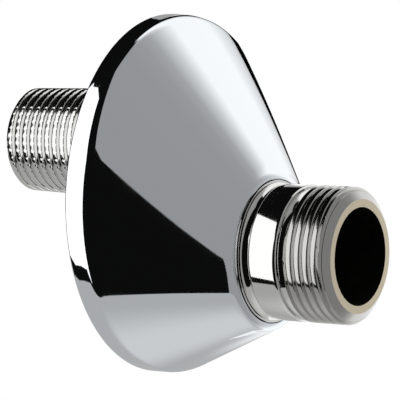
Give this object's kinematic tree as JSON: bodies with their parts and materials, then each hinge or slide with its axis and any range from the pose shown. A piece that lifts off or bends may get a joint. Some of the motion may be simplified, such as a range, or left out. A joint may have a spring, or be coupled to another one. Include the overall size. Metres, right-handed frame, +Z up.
{
  "type": "eccentric connector",
  "caption": "Chromed eccentric wall connector for an exposed shower mixer, with an oblique cone escutcheon over its offset neck and male threads at both ends.",
  "frame": {"origin": "the wall thread's axis where it crosses the wall surface, which is the plane of the cone's foot", "axes": "+Y runs along the wall thread into the wall, +Z is up, away from the outlet that sits lower, +X is to the right as seen from the mixer"},
  "size_m": [0.07, 0.0759, 0.07],
  "materials": {
    "union_chrome": "nickel and chrome plate over turned brass, bare brass at the sealing face",
    "cone_chrome": "polished bright chrome plate"
  },
  "bodies": {
    "root": {"eccentric_union": "union_chrome", "escutcheon": "cone_chrome"}
  },
  "joints": []
}
